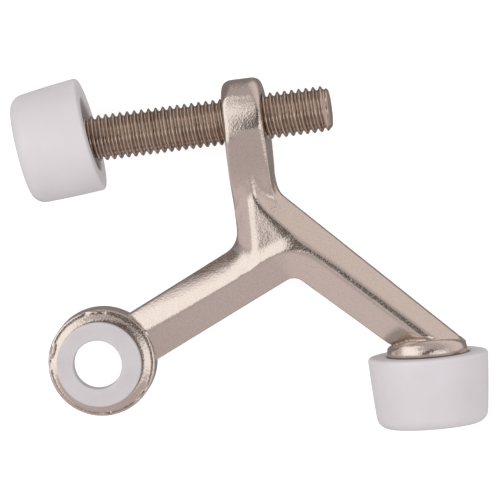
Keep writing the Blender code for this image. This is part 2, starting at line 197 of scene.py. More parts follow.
# Raised and sunken marks on the eye's rim, as ellipsoids:
# (angle, radius, height, half length, half width, half depth, raised?)
RIM_MARKS = [
    (100.0, 8.95, 3.05, 0.42, 0.20, 0.22, False), (92.0, 8.85, 2.98, 0.60, 0.22, 0.26, True),
    (79.0, 8.75, 3.02, 0.25, 0.16, 0.18, False), (158.0, 8.55, 3.05, 1.15, 0.34, 0.30, True),
    (168.5, 8.75, 3.10, 0.30, 0.22, 0.28, False), (176.0, 8.95, 3.05, 0.70, 0.14, 0.20, False),
    (272.0, 8.55, 3.10, 0.42, 0.15, 0.22, False), (262.0, 9.00, 3.00, 0.30, 0.14, 0.22, False),
    (322.0, 8.75, 3.05, 0.75, 0.12, 0.20, False), (308.0, 8.85, 3.02, 0.65, 0.11, 0.18, False),
]


# ------------------------------------------------------------------ casting: half depth of the arms
def eye_arm_face(inset, along):
    """Upper face of the eye arm: convex, steep at its edge and gentle at the ridge."""
    width = lerp(4.1, 4.9, along)
    slope = lerp(0.53, 0.93, along)
    bulge = 0.52 * slope
    near = np.clip(inset, None, width)
    curved = EDGE + slope * near + bulge * near * (1 - near / width)
    return curved + (slope - bulge) * np.maximum(inset - width, 0)


def boss_arm_face(inset):
    """Left face of the boss arm: rises quickly from the edge, then is almost level."""
    steep, bend = 1.2, 2.8                    # width of the steep band, and of the bend after it
    u = clip01((inset - steep) / bend)
    turn = np.minimum(inset, steep) + bend * (u - u**3 + u**4 / 2)
    return np.where(inset > 0, 1.0 + 0.09 * inset + 1.3 * turn, 1.0 + 2.6 * inset)


def web_face(inset, beyond):
    """The web that rounds the corner between those two arms."""
    near = np.clip(inset, None, WEB_RADIUS)
    fade = 0.35 * np.maximum(beyond + 0.6, 0.0) ** 2
    return EDGE + 1.5 * near * (1 - near / (2 * WEB_RADIUS)) - fade


def outer_face(inset, along):
    """Outer face, right round from the boss arm to the foot arm: a slope, a bend, a crown."""
    width, height, crown_slope = lerp(4.4, 3.6, along), lerp(5.3, 4.8, along), 0.24
    crown, bend = lerp(0.45, 0.85, step(0.0, 0.35, along)), 1.0
    slope = (height - EDGE - crown_slope * (crown + bend / 2)) / (width - crown - bend / 2)
    slope_end = width - crown - bend
    bent = np.clip(inset - slope_end, 0.0, bend)
    face = EDGE + slope * np.minimum(inset, slope_end)
    face = face + slope * bent - (slope - crown_slope) * bent * bent / (2 * bend)
    return face + crown_slope * np.maximum(inset - (width - crown), 0)


def roof(x, y):
    """Half depth of the arms over the plan, and the inward distance from the plan outline."""
    def share_along(start, direction):
        return ((x - start[0]) * direction[0] + (y - start[1]) * direction[1]) / ARM_RUN

    along_eye = np.clip(share_along(EYE_ARM_START, eye_dir), -0.2, 1.0)
    along_foot = clip01(share_along(FOOT_ARM_START, foot_dir))
    in_left, in_right, in_below = notch_left(x, y), notch_right(x, y), notch_below(x, y)

    eye_face = eye_arm_face(side_of(*EYE_ARM_UPPER, x, y), along_eye)
    top = soft_max(eye_face, boss_arm_face(side_of(*BOSS_ARM_LEFT, x, y)), blend=1.5)
    top = soft_max(top, web_face(in_left, notch_left.beyond(x, y)), blend=0.8)
    top = soft_min(top, outer_face(in_right, along_foot), blend=0.45)
    # lower face: flat, right round the crotch
    slope = lerp(0.42, 0.93, along_eye) - 0.08 * step(0.0, 0.3, along_foot)
    top = soft_min(top, EDGE + slope * in_below, lerp(0.36, 0.9, step(-20.5, -16.0, x)))
    return top, np.minimum(np.minimum(in_left, in_right), in_below)


# ------------------------------------------------------------------ casting: its solids
def arms_solid(x, y, depth, foot_height, foot_side, eye_radius):
    top, inset = roof(x, y)
    arms = soft_max((depth - top) * 0.74, -inset, blend=0.3)
    arms = soft_max(arms, (SEAT + 0.5) - foot_height, blend=0.3)
    # flat ends short of the eye's centre and below the boss
    past_eye = (x - EYE[0]) * -eye_dir[0] + (y - EYE[1]) * -eye_dir[1]
    arms = np.maximum(arms, past_eye + 3.0)
    arms = np.maximum(arms, y - 53.0)
    # the foot arm stays inside its flange
    beside = foot_side - 6.95 - 1.5 * np.maximum(foot_height - 16.6, 0.0)
    arms = soft_max(arms, np.where(x > -13.0, beside, NO_CUT), blend=0.8)
    return soft_max(arms, 9.18 - eye_radius, blend=0.1)


def boss_solid(x, depth, above_rod, left, right):
    """Boss and neck: a bar with bulged broad faces, that ends in a ramp on the arms."""
    bulge = np.hypot(above_rod - SWELL_AT, depth - (SWELL_FACE - SWELL_RADIUS)) - SWELL_RADIUS
    taper = (depth - (SWELL_FACE - 0.168 * (SWELL_AT - above_rod))) * 0.986
    ramp = (depth - (5.0 - 0.8 * (-10.2 - above_rod))) * 0.78
    broad = np.where(above_rod > SWELL_AT, bulge, taper)
    broad = broad + 0.011 * (x + 22.5) ** 2 * step(-3.2, -0.6, above_rod) * (x < -22.5)
    broad = soft_max(broad, ramp, blend=1.6)
    round_top = np.hypot(above_rod, depth) - BOSS_RADIUS
    cap = np.where(above_rod > 0, round_top, depth - BOSS_RADIUS)
    lower = step(-1.0, -7.0, above_rod)
    bar = soft_max(broad, cap, blend=0.22)
    bar = soft_max(bar, left, lerp(0.9, 0.45, lower))
    bar = soft_max(bar, right, lerp(0.9, 0.5, lower))
    bar = soft_max(bar, np.maximum(left, right), blend=0.01)
    corner = soft_max(soft_max(cap, left, blend=1.9), right, blend=1.9)
    return np.where(above_rod > 0, np.maximum(bar, corner), bar)


def eye_solid(z, radius):
    """A disc with a raised middle and a fine lip round its +z face."""
    lip = 0.08 * np.exp(-((radius - 8.90) / 0.20) ** 2)
    face = 2.93 + 0.45 * step(8.8, 7.3, radius) + lip
    under = 3.4 - 0.35 * step(7.6, 9.0, radius)
    disc = soft_max(radius - EYE_RADIUS, (z - face) * 0.9, blend=0.14)
    return soft_max(disc, -z - under, blend=0.5)


def flange_solid(x, y, z, height, side, radius):
    """Foot flange, its top face uneven across the side direction."""
    top_face = SEAT + 2.05 + 1.15 * step(-7.0, -2.2, side) - 0.45 * step(2.0, 6.5, side)
    flare = 0.22 * (z / np.maximum(radius, 1.0)) ** 2 * (height - 13.1) ** 2
    flange = soft_max(radius - FLANGE_RADIUS + flare, height - top_face, blend=0.9)
    flange = soft_max(flange, -side_of(*FOOT_ARM_OUTER, x, y), blend=0.8)
    return soft_max(flange, SEAT - height, blend=0.35)


def spigot_solid(height, radius):
    """Stem under the flange, with a wider head and a tapered nose."""
    stem = np.maximum(radius - 3.6, np.maximum(6.4 - height, height - SEAT - 1.0))
    head = soft_max(radius - 5.0, np.abs(height - 6.85) - 0.55, blend=0.3)
    nose = soft_max(radius - 3.4 - (height - 4.9), np.abs(height - 5.8) - 0.95, blend=0.3)
    return np.minimum(stem, np.minimum(head, nose))


def mark_rim(body, eye_x, eye_y, z):
    for angle, radius, height, half_length, half_width, half_depth, raised in RIM_MARKS:
        turn = math.radians(angle)
        outward_by = eye_x * math.cos(turn) + eye_y * math.sin(turn) - radius
        along = -eye_x * math.sin(turn) + eye_y * math.cos(turn)
        ellipsoid = np.sqrt(
            (outward_by / half_width) ** 2
            + (along / half_length) ** 2
            + ((z - height) / half_depth) ** 2
        )
        blob = (ellipsoid - 1.0) * min(half_width, half_depth, half_length)
        if raised:
            body = soft_min(body, blob, blend=0.12)
        else:
            body = soft_max(body, -blob, blend=0.12)
    return body


def casting(x, y, z):
    """Negative in metal. Close to a distance near the surface."""
    depth = np.abs(z)
    foot_height = x * FOOT_UP[0] + y * FOOT_UP[1]
    foot_side = x * FOOT_SIDE[0] + y * FOOT_SIDE[1]
    foot_radius = np.hypot(foot_side, z)
    eye_x, eye_y = x - EYE[0], y - EYE[1]
    eye_radius = np.hypot(eye_x, eye_y)
    above_rod = y - ROD_Y
    left = np.where(above_rod > 0, BOSS_L - x, -side_of(*BOSS_ARM_LEFT, x, y))
    right = np.where(above_rod > 0, x - BOSS_R, side_of(*BOSS_ARM_RIGHT, x, y))

    arms = arms_solid(x, y, depth, foot_height, foot_side, eye_radius)
    boss = boss_solid(x, depth, above_rod, left, right)
    body = soft_min(arms, boss, lerp(0.9, 1.7, step(-8.0, -12.0, above_rod)))
    # the join must not swell past the boss arm's sides
    body = np.maximum(body, np.where((above_rod > -19.0) & (x < -20.0), left, NO_CUT))
    body = np.maximum(body, np.where((above_rod > -8.5) & (x > -30.0), right, NO_CUT))

    body = soft_min(body, eye_solid(z, eye_radius), blend=0.16)
    flange = flange_solid(x, y, z, foot_height, foot_side, foot_radius)
    crease = 0.2 * np.exp(-(body**2 + flange**2) / 0.3**2)
    body = soft_min(body, flange, blend=0.08) + crease
    body = np.minimum(body, spigot_solid(foot_height, foot_radius))
    body = mark_rim(body, eye_x, eye_y, z)

    body = soft_max(body, (PIN_BORE - np.hypot(x - PIN[0], y - PIN[1])), blend=0.25)
    from_end = np.minimum(x - BOSS_L, BOSS_R - x)
    hole = ROD_BORE + np.clip(BORE_BEVEL - from_end, 0.0, BORE_BEVEL)
    bored = (hole - np.hypot(y - ROD_Y, z)) * 0.8
    return np.maximum(body, np.where((x > -31) & (x < -18), bored, NO_CUT))


def value_noise(x, y, z, cell, seed):
    """Smooth repeatable noise in -1..1 with features of the given size."""
    scaled = [axis / cell for axis in (x, y, z)]
    ix, iy, iz = (np.floor(axis).astype(np.int64) for axis in scaled)
    fractions = (axis - whole for axis, whole in zip(scaled, (ix, iy, iz)))
    fx, fy, fz = (f * f * (3 - 2 * f) for f in fractions)

    def corner(dx, dy, dz):
        n = ((ix + dx) * 73856093) ^ ((iy + dy) * 19349663)
        n = n ^ ((iz + dz) * 83492791) ^ (seed * 2654435)
        n = (n ^ (n >> 13)) * 1274126177
        n = (n ^ (n >> 16)) & 0xFFFF
        return n / 32767.5 - 1.0

    def along_x(dy, dz):
        return corner(0, dy, dz) * (1 - fx) + corner(1, dy, dz) * fx

    def along_y(dz):
        return along_x(0, dz) * (1 - fy) + along_x(1, dz) * fy

    return along_y(0) * (1 - fz) + along_y(1) * fz


# ------------------------------------------------------------------ meshing a solid
def neighbours(grid, axis):
    """The grid without its last layer along an axis, and without its first."""
    lower, upper = [slice(None)] * 3, [slice(None)] * 3
    lower[axis], upper[axis] = slice(None, -1), slice(1, None)
    return grid[tuple(lower)], grid[tuple(upper)]


def sample(function, axes):
    value = np.empty([len(axis) for axis in axes], np.float32)
    block = 24                                # x layers at a time, to spare memory
    for i in range(0, len(axes[0]), block):
        grid = np.meshgrid(axes[0][i : i + block], axes[1], axes[2], indexing="ij")
        value[i : i + block] = function(*grid)
    return value


def cell_points(value, solid):
    """For each grid cell, how many edges cross the surface and the sum of the crossings."""
    shape = tuple(n - 1 for n in value.shape)
    total = np.zeros((*shape, 3), np.float32)
    crossed = np.zeros(shape, np.int8)
    for axis in range(3):
        value_a, value_b = neighbours(value, axis)
        solid_a, solid_b = neighbours(solid, axis)
        change = solid_a != solid_b
        with np.errstate(divide="ignore", invalid="ignore"):
            share = np.where(change, value_a / (value_a - value_b), 0.0).astype(np.float32)
        side_1, side_2 = [k for k in range(3) if k != axis]
        for shift_1 in (0, 1):
            for shift_2 in (0, 1):
                part = [slice(None)] * 3
                part[side_1] = slice(shift_1, shift_1 + shape[side_1])
                part[side_2] = slice(shift_2, shift_2 + shape[side_2])
                hit = change[tuple(part)]
                crossed += hit
                total[..., axis] += np.where(hit, share[tuple(part)], 0)
                total[..., side_1] += np.where(hit, shift_1, 0)
                total[..., side_2] += np.where(hit, shift_2, 0)
    return total, crossed


def cell_quads(solid, index):
    """One quad round each grid edge that crosses the surface."""
    quads = []
    for axis in range(3):
        solid_a, solid_b = neighbours(solid, axis)
        change = np.argwhere(solid_a != solid_b)
        inside = solid_a[tuple(change.T)]
        side_1, side_2 = [k for k in range(3) if k != axis]
        ok = (change[:, side_1] > 0) & (change[:, side_2] > 0)
        ok &= change[:, side_1] < index.shape[side_1]
        ok &= change[:, side_2] < index.shape[side_2]
        change, inside = change[ok], inside[ok]
        ring = []
        for back_1, back_2 in ((1, 1), (0, 1), (0, 0), (1, 0)):
            cell_at = change.copy()
            cell_at[:, side_1] -= back_1
            cell_at[:, side_2] -= back_2
            ring.append(index[tuple(cell_at.T)])
        ring = np.stack(ring, 1)
        turned = inside if axis == 1 else ~inside
        ring[turned] = ring[turned][:, ::-1]
        quads.append(ring)
    return np.concatenate(quads)


def move_to_surface(function, points, cell):
    e = cell * 0.05
    for _ in range(4):
        x, y, z = points.T
        value = function(x, y, z)
        slope = np.stack(
            [
                function(x + e, y, z) - function(x - e, y, z),
                function(x, y + e, z) - function(x, y - e, z),
                function(x, y, z + e) - function(x, y, z - e),
            ],
            1,
        ) / (2 * e)
        steepness = np.maximum((slope * slope).sum(1), 0.05)
        move = -(value / steepness)[:, None] * slope
        far = np.linalg.norm(move, axis=1, keepdims=True)
        points = points + move * np.minimum(1.0, cell * 0.6 / np.maximum(far, 1e-9))
    return points, slope / np.linalg.norm(slope, axis=1, keepdims=True).clip(1e-6)


def surface_nets(function, low, high, cell):
    """Quads around the zero level of function, with points moved on to that level."""
    axes = [np.arange(start, end + cell, cell) for start, end in zip(low, high)]
    value = sample(function, axes)
    solid = value < 0
    total, crossed = cell_points(value, solid)
    cells = np.argwhere(crossed > 0)
    at_cells = tuple(cells.T)
    index = np.full(crossed.shape, -1, np.int64)
    index[at_cells] = np.arange(len(cells))
    points = total[at_cells] / crossed[at_cells][:, None]
    points = (cells + points) * cell + np.array([axis[0] for axis in axes])
    quads = cell_quads(solid, index)
    points, normals = move_to_surface(function, points, cell)
    return points, quads, normals


# ------------------------------------------------------------------ objects
def add_object(name, data):
    o = bpy.data.objects.new(name, data)
    bpy.context.scene.collection.objects.link(o)
    return o


def from_arrays(name, points, faces, material, sharp_angle=None):
    mesh = bpy.data.meshes.new(name)
    mesh.from_pydata((np.asarray(points) * MM).tolist(), [], [list(map(int, f)) for f in faces])
    mesh.validate()
    mesh.update()
    mesh.shade_smooth()
    if sharp_angle:
        mesh.set_sharp_from_angle(angle=math.radians(sharp_angle))
    mesh.materials.append(material)
    return add_object(name, mesh)


def face_outward(o):
    bm = bmesh.new()
    bm.from_mesh(o.data)
    bmesh.ops.recalc_face_normals(bm, faces=bm.faces)
    if bm.calc_volume(signed=True) < 0:
        bmesh.ops.reverse_faces(bm, faces=bm.faces)
    bm.to_mesh(o.data)
    bm.free()
    return o


def register(o, moves_with, cad_piece):
    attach(o, moves_with)
    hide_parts(cad_piece)


def rounded(corners, segments=7):
    """A closed run of (radius, height, fillet) corners, each rounded by its own fillet."""
    out = []
    for i, (x, y, fillet) in enumerate(corners):
        if fillet <= 0:
            out.append((x, y))
            continue
        corner = np.array([x, y], float)
        a = np.array(corners[i - 1][:2], float) - corner
        b = np.array(corners[(i + 1) % len(corners)][:2], float) - corner
        a, b = a / np.linalg.norm(a), b / np.linalg.norm(b)
        half = math.acos(float(np.clip(a @ b, -1, 1))) / 2
        reach = fillet / math.tan(half)
        centre = corner + (a + b) / np.linalg.norm(a + b) * fillet / math.sin(half)
        start, end = corner + a * reach - centre, corner + b * reach - centre
        sweep = math.atan2(start[0] * end[1] - start[1] * end[0], start @ end)
        for k in range(segments + 1):
            cos, sin = math.cos(sweep * k / segments), math.sin(sweep * k / segments)
            out.append((
                centre[0] + start[0] * cos - start[1] * sin,
                centre[1] + start[0] * sin + start[1] * cos,
            ))
    return out


def resample(profile, longest, closed):
    """The same run with its long straight parts cut into shorter ones."""
    out = []
    count = len(profile)
    for i in range(count if closed else count - 1):
        a, b = np.array(profile[i]), np.array(profile[(i + 1) % count])
        parts = max(1, int(math.ceil(np.linalg.norm(b - a) / longest)))
        out += [tuple(a + (b - a) * k / parts) for k in range(parts)]
    if not closed:
        out.append(tuple(profile[-1]))
    return out


def lathe(name, profile, steps, material, centre, axes, shape, longest=0.7):
    """A turned solid. profile is (radius, height); a point on the axis closes the solid there.

    shape alters the points in the solid's own frame, whose x, y and z are given by axes."""
    closed = profile[0][0] > 1e-9
    angles = np.arange(steps) * (2 * math.pi / steps)
    points, rings = [], []
    for r, h in resample(profile, longest, closed):
        if r < 1e-9:
            rings.append([len(points)])
            points.append((0.0, 0.0, h))
        else:
            rings.append(list(range(len(points), len(points) + steps)))
            points += [(r * math.cos(t), r * math.sin(t), h) for t in angles]
    faces = []
    pairs = list(zip(rings, rings[1:])) + ([(rings[-1], rings[0])] if closed else [])
    for p, q in pairs:
        for k in range(steps):
            after = (k + 1) % steps
            if len(p) == 1:
                faces.append((p[0], q[after], q[k]))
            elif len(q) == 1:
                faces.append((p[k], p[after], q[0]))
            else:
                faces.append((p[k], p[after], q[after], q[k]))
    world = shape(np.array(points)) @ np.array(axes, float) + np.array(centre, float)
    return face_outward(from_arrays(name, world, faces, material, sharp_angle=50))


# ------------------------------------------------------------------ shader nodes
def fill(nt, node, inputs):
    """Set inputs of a node: a socket is linked, any other value is stored."""
    for key, value in inputs.items():
        if isinstance(value, bpy.types.NodeSocket):
            nt.links.new(value, node.inputs[key])
        else:
            node.inputs[key].default_value = value


def add(nt, kind, inputs=None, **settings):
    node = nt.nodes.new(kind)
    for key, value in settings.items():
        setattr(node, key, value)
    fill(nt, node, inputs or {})
    return node


def new_material(name):
    """The material, its tree, its main shader and its object coordinates."""
    material = bpy.data.materials.new(name)
    material.use_nodes = True
    nt = material.node_tree
    coords = add(nt, "ShaderNodeTexCoord").outputs["Object"]
    return material, nt, nt.nodes["Principled BSDF"], coords


def noise(nt, coords, scale, detail=2.0, rough=0.5, output="Fac"):
    inputs = {"Vector": coords, "Scale": scale, "Detail": detail, "Roughness": rough}
    return add(nt, "ShaderNodeTexNoise", inputs).outputs[output]


def colour_ramp(nt, fac, stops):
    """stops are (position, colour), in rising order."""
    node = add(nt, "ShaderNodeValToRGB", {"Fac": fac})
    elements = node.color_ramp.elements
    elements.remove(elements[-1])
    elements[0].position = stops[0][0]
    for position, _ in stops[1:]:
        elements.new(position)
    for element, (_, colour) in zip(elements, stops):
        element.color = (*colour, 1.0)
    return node.outputs["Color"]


def spread(nt, value, source, target):
    """Map the source range on to the target range, clamped."""
    inputs = {
        "Value": value, "From Min": source[0], "From Max": source[1],
        "To Min": target[0], "To Max": target[1],
    }
    return add(nt, "ShaderNodeMapRange", inputs, clamp=True).outputs["Result"]


def bump(nt, height, strength, distance, normal=None):
    inputs = {"Height": height, "Strength": strength, "Distance": distance}
    if normal is not None:
        inputs["Normal"] = normal
    return add(nt, "ShaderNodeBump", inputs).outputs["Normal"]


def mix_colour(nt, fac, a, b):
    inputs = {"Factor": fac, "A": a, "B": b}
    return add(nt, "ShaderNodeMix", inputs, data_type="RGBA").outputs["Result"]


def mix_shader(nt, fac, a, b):
    return add(nt, "ShaderNodeMixShader", {"Fac": fac, 1: a, 2: b}).outputs[0]


# ------------------------------------------------------------------ materials
NOISE_BAND = (0.3, 0.7)                       # the part of a noise's range that is used

NICKEL_STOPS = [
    (0.25, (0.575, 0.505, 0.452)), (0.55, (0.615, 0.54, 0.485)), (0.85, (0.64, 0.565, 0.508)),
]
BRONZE_STOPS = [
    (0.25, (0.34, 0.272, 0.22)), (0.55, (0.48, 0.392, 0.325)), (0.85, (0.58, 0.487, 0.41)),
]
RUBBER_STOPS = [
    (0.25, (0.735, 0.700, 0.722)), (0.55, (0.755, 0.728, 0.745)), (0.85, (0.775, 0.755, 0.765)),
]
NYLON_STOPS = [(0.25, (0.63, 0.598, 0.612)), (0.75, (0.675, 0.648, 0.658))]


def satin_nickel():
    material, nt, shader, coords = new_material("satin_nickel_casting")
    grain = noise(nt, coords, scale=3000.0, detail=1.0)
    patches = noise(nt, coords, scale=300.0, detail=3.0, rough=0.6)
    fill(nt, shader, {
        "Base Color": colour_ramp(nt, grain, NICKEL_STOPS),
        "Metallic": 1.0,
        "Roughness": spread(nt, patches, NOISE_BAND, (0.185, 0.235)),
    })
    # faces turned to +x +y are the sandiest, those turned to -x -y the smoothest
    normal = add(nt, "ShaderNodeNewGeometry").outputs["Normal"]
    sandy_side = (0.55, 0.83, 0.0)
    facing = add(nt, "ShaderNodeVectorMath", {0: normal, 1: sandy_side}, operation="DOT_PRODUCT")
    sandy = spread(nt, facing.outputs["Value"], source=(-0.35, 0.35), target=(0.28, 1.0))
    soft = bump(nt, noise(nt, coords, scale=620.0), strength=1.0, distance=0.000007)
    fine = bump(nt, grain, strength=sandy, distance=0.000046, normal=soft)
    fill(nt, shader, {"Normal": fine})
    return material


def bronze_steel():
    material, nt, shader, coords = new_material("bronze_tinted_steel")
    # patches drawn out across the rod's axis
    stretched = add(nt, "ShaderNodeMapping", {"Vector": coords, "Scale": (1.0, 0.25, 0.25)})
    patches = noise(nt, stretched.outputs["Vector"], scale=900.0, detail=3.0, rough=0.6)
    fill(nt, shader, {
        "Base Color": colour_ramp(nt, patches, BRONZE_STOPS),
        "Metallic": 1.0,
        "Roughness": spread(nt, patches, NOISE_BAND, (0.15, 0.24)),
        "Normal": bump(nt, noise(nt, coords, scale=3800.0), strength=0.6, distance=0.000012),
    })
    return material


def tint_spot(nt, coords, colour, centre):
    """A faint reddish spot with a ragged edge."""
    ragged = noise(nt, coords, scale=700.0, output="Color")
    wobble = add(
        nt, "ShaderNodeVectorMath", {0: ragged, 1: (0.0016, 0.0016, 0.0016), 2: coords},
        operation="MULTIPLY_ADD")
    away = add(
        nt, "ShaderNodeVectorMath", {0: wobble.outputs["Vector"], 1: centre},
        operation="DISTANCE")
    share = spread(nt, away.outputs["Value"], source=(0.0006, 0.0021), target=(0.32, 0.0))
    return mix_colour(nt, share, colour, (0.70, 0.52, 0.47, 1.0))


def white_rubber(name, spot=None):
    material, nt, shader, coords = new_material(name)
    cloud = noise(nt, coords, scale=130.0, detail=3.0, rough=0.55)
    colour = colour_ramp(nt, cloud, RUBBER_STOPS)
    if spot is not None:
        colour = tint_spot(nt, coords, colour, spot)
    fill(nt, shader, {
        "Base Color": colour,
        "Roughness": spread(nt, noise(nt, coords, scale=900.0), NOISE_BAND, (0.46, 0.60)),
        "Subsurface Weight": 0.25,
        "Subsurface Radius": (0.0022, 0.0018, 0.0018),
        "Subsurface Scale": 1.0,
        "Normal": bump(nt, noise(nt, coords, scale=2600.0), strength=0.5, distance=0.000010),
    })
    return material


def white_nylon():
    material, nt, shader, coords = new_material("white_nylon")
    cloud = noise(nt, coords, scale=240.0, detail=3.0)
    fill(nt, shader, {
        "Base Color": colour_ramp(nt, cloud, NYLON_STOPS),
        "Roughness": spread(nt, cloud, NOISE_BAND, (0.42, 0.52)),
        "Subsurface Weight": 0.2,
        "Subsurface Radius": (0.0012, 0.0010, 0.0010),
        "Subsurface Scale": 1.0,
        "Normal": bump(nt, noise(nt, coords, scale=1800.0), strength=0.5, distance=0.000008),
    })
    return material


NICKEL, BRONZE, NYLON = satin_nickel(), bronze_steel(), white_nylon()

# ------------------------------------------------------------------ cast bracket
CELL = 0.25
GRID_LOW, GRID_HIGH = (-65.4, 3.6, -7.6), (9.4, 65.0, 7.6)
WAVE_HEIGHT = 0.012                           # slight unevenness of the cast surface


def cast_bracket():
    points, quads, normals = surface_nets(casting, GRID_LOW, GRID_HIGH, CELL)
    coarse = value_noise(*points.T, cell=1.9, seed=3)
    fine = value_noise(*points.T, cell=0.95, seed=7)
    waves = 0.5 * coarse + 0.5 * fine
    points = points + normals * (waves * WAVE_HEIGHT)[:, None]
    return face_outward(from_arrays("bracket_casting", points, quads, NICKEL))


register(cast_bracket(), "bracket", "cast_bracket")

# ------------------------------------------------------------------ threaded rod
PITCH, CREST, ROOT = 1.25, 4.0, 3.36          # thread pitch, and radii of its crest and root
AROUND, ALONG = 96, 12                        # steps round the rod, and along one pitch
THREAD_FROM, NECK_X = -55.4, -58.2

# (x, radius) of the rings beyond the thread: the dished free end, then the neck and head
FREE_END = [(ROD_END, 2.9), (ROD_END - 0.05, 2.6), (ROD_END - 0.08, 1.4)]
HEAD_END = [
    (NECK_X + 0.25, 3.2), (NECK_X, 3.45), (NECK_X, 5.6), (NECK_X - 0.12, 5.9),
    (NECK_X - 0.4, 6.0), (ROD_HEAD_BACK + 0.4, 6.0), (ROD_HEAD_BACK + 0.1, 5.9),
    (ROD_HEAD_BACK, 5.6),
]


def thread_radius(phase):
    """Rounded crests and roots; phase 0 is the crest."""
    p = np.abs((phase + 0.5) % 1.0 - 0.5) * 2.0        # 0 at the crest, 1 at the root
    flank = clip01((p - 0.10) / 0.72)
    flank = flank - 0.06 * np.sin(flank * 2 * math.pi)
    return CREST - (CREST - ROOT) * flank - 0.035 * p * p


def thread_grid():
    """Points and faces of the helical part; rows follow the thread, held between its ends."""
    row_count = int(math.ceil((ROD_END - THREAD_FROM) / PITCH * ALONG))
    i = np.arange(-ALONG, row_count + 2)[:, None]
    j = np.arange(AROUND)[None, :]
    raw = THREAD_FROM + (i / ALONG + j / AROUND) * PITCH
    x = np.clip(raw, THREAD_FROM, ROD_END)
    angle = j * (2 * math.pi / AROUND)
    radius = thread_radius(raw / PITCH - j / AROUND)
    end_bevel = 3.18 + (ROD_END - x) * 1.02
    start_bevel = 3.20 + (x - THREAD_FROM) * 1.2
    radius = np.minimum(np.minimum(radius, end_bevel), start_bevel)
    grid = np.stack([x, ROD_Y + radius * np.cos(angle), radius * np.sin(angle)], -1)
    rows, cols = x.shape
    faces = []
    for a in range(rows - 1):
        near, far = a * cols, (a + 1) * cols
        faces += [(near + b, far + b, far + b + 1, near + b + 1) for b in range(cols - 1)]
    # after a full turn the last column meets the first, one pitch further on
    for a in range(rows - 1 - ALONG):
        on = a + ALONG
        faces.append((a * cols + cols - 1, (a + 1) * cols + cols - 1, (on + 1) * cols, on * cols))
    return grid.reshape(-1, 3), faces


def rim_edges(bm, x_at):
    return [
        e for e in bm.edges
        if e.is_boundary and all(abs(v.co.x / MM - x_at) < 1e-3 for v in e.verts)
    ]


def extend(bm, edges, stations, centre_x):
    """Carry a rim through (x, radius) stations, then close it at a point on the axis."""
    for x_at, radius in stations:
        made = bmesh.ops.extrude_edge_only(bm, edges=edges)["geom"]
        verts = {g for g in made if isinstance(g, bmesh.types.BMVert)}
        edges = [
            g for g in made
            if isinstance(g, bmesh.types.BMEdge) and all(v in verts for v in g.verts)
        ]
        for v in verts:
            y, z = v.co.y - ROD_Y * MM, v.co.z
            scale = radius * MM / math.hypot(y, z)
            v.co = Vector((x_at * MM, ROD_Y * MM + y * scale, z * scale))
    made = bmesh.ops.extrude_edge_only(bm, edges=edges)["geom"]
    verts = [g for g in made if isinstance(g, bmesh.types.BMVert)]
    bmesh.ops.pointmerge(bm, verts=verts, merge_co=Vector((centre_x * MM, ROD_Y * MM, 0.0)))


def threaded_rod():
    o = from_arrays("adjuster_rod", *thread_grid(), BRONZE)
    bm = bmesh.new()
    bm.from_mesh(o.data)
    bmesh.ops.remove_doubles(bm, verts=bm.verts, dist=2e-7)
    bmesh.ops.delete(bm, geom=[v for v in bm.verts if not v.link_faces], context="VERTS")
    extend(bm, rim_edges(bm, ROD_END), FREE_END, centre_x=ROD_END - 0.09)
    extend(bm, rim_edges(bm, THREAD_FROM), HEAD_END, centre_x=ROD_HEAD_BACK)
    bmesh.ops.recalc_face_normals(bm, faces=bm.faces)
    bm.to_mesh(o.data)
    bm.free()
    o.data.shade_smooth()
    o.data.set_sharp_from_angle(angle=math.radians(60))
    return o


register(threaded_rod(), "rod", "threaded_rod")

# ------------------------------------------------------------------ nylon bushing
BORE, BARREL, LIP = 4.2, 5.65, 7.34           # radii
BUSH_TOP, BUSH_LOW, LIP_UNDER = bush_high.z / MM, bush_low.z / MM, 4.0

# corners: (radius, height, fillet)
BUSH_PROFILE = [
    (BORE, BUSH_TOP, 0.34), (LIP, BUSH_TOP, 0.30), (LIP, LIP_UNDER, 0.10),
    (BARREL, LIP_UNDER, 0.08), (BARREL, BUSH_LOW, 0.12), (5.10, BUSH_LOW, 0.08),
    (BORE, 1.9, 0.3),
]


def bush_shape(local):
    """Dip the top face on one side, and shift the lip towards +x."""
    angle = np.arctan2(local[:, 1], local[:, 0])
    radius = np.hypot(local[:, 0], local[:, 1])
    height = local[:, 2]
    out = local.copy()
    out[:, 2] -= 0.05 * (radius > 5.0) * (height > 4.4) * (0.5 + 0.5 * np.cos(angle - 0.9))
    out[:, 0] += 0.24 * step(5.8, 7.0, radius) * (height > 3.0)
    return out


bushing = lathe(
    "bushing_nylon", rounded(BUSH_PROFILE), 120, NYLON, centre=(*PIN, 0.0), axes=np.eye(3),
    shape=bush_shape)
register(bushing, "bracket", "pin_bushing")

# ------------------------------------------------------------------ rubber caps
CAP_STEPS = 144


def swell(local, depth, amount, beyond):
    """Barrel the wall outside a radius; depth runs from 0 to 1 over the cap."""
    radius = np.hypot(local[:, 0], local[:, 1])
    scale = 1 + amount * np.sin(depth * math.pi) * (radius > beyond) / np.maximum(radius, 1e-6)
    out = local.copy()
    out[:, 0] *= scale
    out[:, 1] *= scale
    return out


# door cap: its own z points back along the rod, its open rim is at 0 and its face at the far end
DOOR_TIP = math.radians(7.2)
DOOR_AXES = (
    (-math.sin(DOOR_TIP), math.cos(DOOR_TIP), 0.0),
    (0.0, 0.0, 1.0),
    (math.cos(DOOR_TIP), math.sin(DOOR_TIP), 0.0),
)
DOOR_BACK = (-51.65, 57.81, 0.0)              # centre of the open rim
DOOR_DEPTH, DOOR_FLOOR = 12.5, -9.8
DOOR_SPOT = (-0.0615, 0.0489, 0.0042)         # tinted spot, metres

